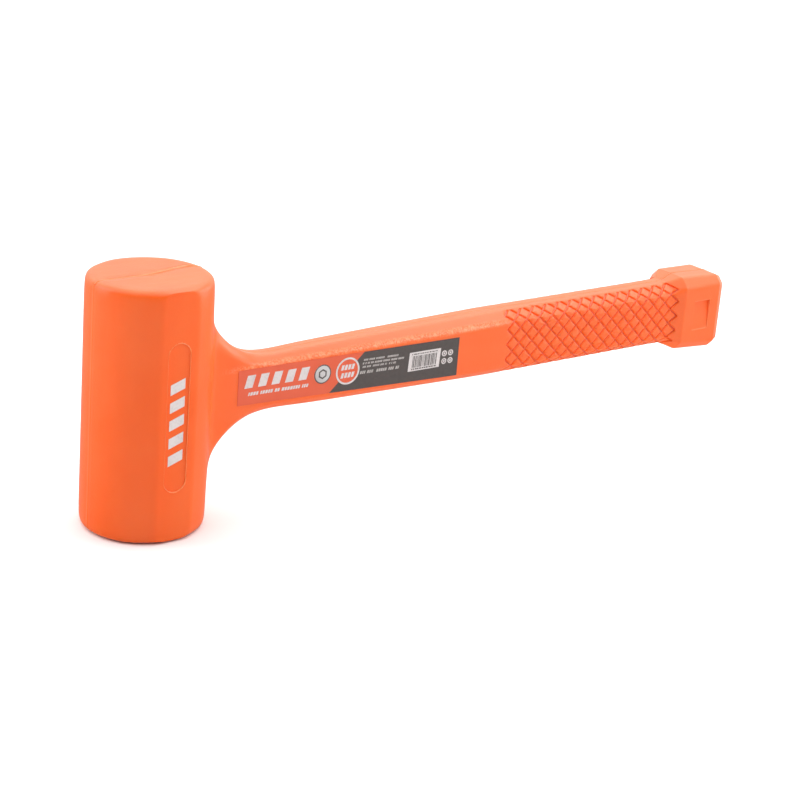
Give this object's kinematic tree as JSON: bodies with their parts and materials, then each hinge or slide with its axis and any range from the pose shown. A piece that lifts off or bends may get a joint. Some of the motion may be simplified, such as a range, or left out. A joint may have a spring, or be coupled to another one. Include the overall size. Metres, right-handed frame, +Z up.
{
  "type": "dead blow mallet",
  "caption": "Dead blow mallet: one-piece plastic body moulded over a welded steel shot canister and handle core, with loose steel shot, grip and film label.",
  "frame": {"origin": "centre of the lower striking face, on the head's axis", "axes": "+Z up along the head's axis, out of the upper striking face; +X from the head along the handle to the butt; the labelled side faces -Y"},
  "size_m": [0.2995, 0.0428, 0.093],
  "materials": {
    "body_plastic": "satin-gloss moulded plastic",
    "canister_steel": "drawn tube, mill finish",
    "weld_metal": "as welded",
    "shot_steel": "oiled steel shot",
    "core_steel": "cold drawn bar",
    "label_film": "printed film",
    "white_ink": "printed ink"
  },
  "bodies": {
    "mallet": {"moulded_body": "body_plastic", "canister_tube": "canister_steel", "canister_cap_lower": "canister_steel", "canister_cap_upper": "canister_steel", "cap_weld_lower": "weld_metal", "cap_weld_upper": "weld_metal", "handle_core": "core_steel", "core_weld": "weld_metal", "handle_label": "label_film", "head_print": "white_ink"},
    "shot": {"shot_charge": "shot_steel"}
  },
  "joints": [
    {"name": "shot_slide", "type": "slide", "parent": "mallet", "child": "shot", "axis": [0, 0, 1], "range_m": [0, 0.0195]}
  ]
}
